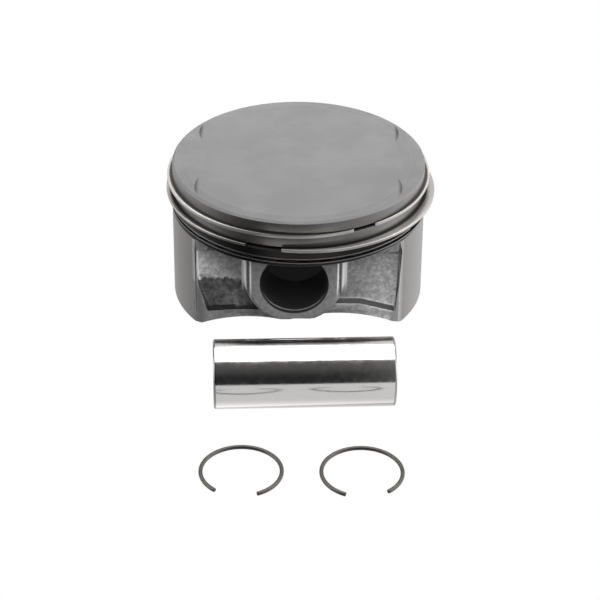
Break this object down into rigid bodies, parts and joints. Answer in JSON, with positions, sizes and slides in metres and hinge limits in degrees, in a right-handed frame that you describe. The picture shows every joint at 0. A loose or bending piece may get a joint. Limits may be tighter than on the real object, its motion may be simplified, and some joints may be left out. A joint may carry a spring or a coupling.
{
  "type": "engine piston kit",
  "caption": "Flat-top motorcycle engine piston with turning rings, a hollow wrist pin and wire circlips laid out beside it, ready to fit.",
  "frame": {"origin": "on the cylinder axis, at the height of the wrist pin bore's axis", "axes": "+Z towards the crown along the cylinder axis; +Y along the piston's pin bore, away from the loose pin and circlips; +X square to the bore, towards the right-hand skirt"},
  "size_m": [0.0816, 0.1504, 0.044],
  "materials": {
    "piston_alloy": "matte turned crown and skirts, cast side recesses",
    "ring_steel": "fine ground",
    "ring_iron": "fine turned face",
    "rail_steel": "dark, satin",
    "expander_steel": "dark, satin",
    "pin_steel": "ground and polished",
    "clip_wire": "dark drawn spring wire"
  },
  "bodies": {
    "piston": {"piston_body": "piston_alloy"},
    "top_ring": {"top_compression_ring": "ring_steel"},
    "second_ring": {"second_compression_ring": "ring_iron"},
    "upper_rail": {"oil_ring_upper_rail": "rail_steel"},
    "expander": {"oil_ring_expander": "expander_steel"},
    "lower_rail": {"oil_ring_lower_rail": "rail_steel"},
    "wrist_pin": {"wrist_pin": "pin_steel"},
    "circlip_left": {"circlip_left": "clip_wire"},
    "circlip_right": {"circlip_right": "clip_wire"}
  },
  "joints": [
    {"name": "top_ring_turn", "type": "hinge", "parent": "piston", "child": "top_ring", "pos_m": [-0.00005, 0.0005, 0.0225], "axis": [0, 0, 1], "continuous": true},
    {"name": "second_ring_turn", "type": "hinge", "parent": "piston", "child": "second_ring", "pos_m": [0.0006, -0.00035, 0.0179], "axis": [0, 0, 1], "continuous": true},
    {"name": "upper_rail_turn", "type": "hinge", "parent": "piston", "child": "upper_rail", "pos_m": [0.00035, 0.00075, 0.01453], "axis": [0, 0, 1], "continuous": true},
    {"name": "expander_turn", "type": "hinge", "parent": "piston", "child": "expander", "pos_m": [0, 0, 0.01385], "axis": [0, 0, 1], "continuous": true},
    {"name": "lower_rail_turn", "type": "hinge", "parent": "piston", "child": "lower_rail", "pos_m": [0.00035, 0.00075, 0.01316], "axis": [0, 0, 1], "continuous": true},
    {"name": "wrist_pin_turn", "type": "hinge", "parent": "piston", "child": "wrist_pin", "pos_m": [0.0021, -0.0651, -0.007], "axis": [0.999, 0.0454, 0], "continuous": true},
    {"name": "circlip_left_turn", "type": "hinge", "parent": "piston", "child": "circlip_left", "pos_m": [-0.01505, -0.0997, -0.0164], "axis": [0, 0, 1], "continuous": true},
    {"name": "circlip_right_turn", "type": "hinge", "parent": "piston", "child": "circlip_right", "pos_m": [0.01825, -0.0997, -0.0164], "axis": [0, 0, 1], "continuous": true}
  ]
}
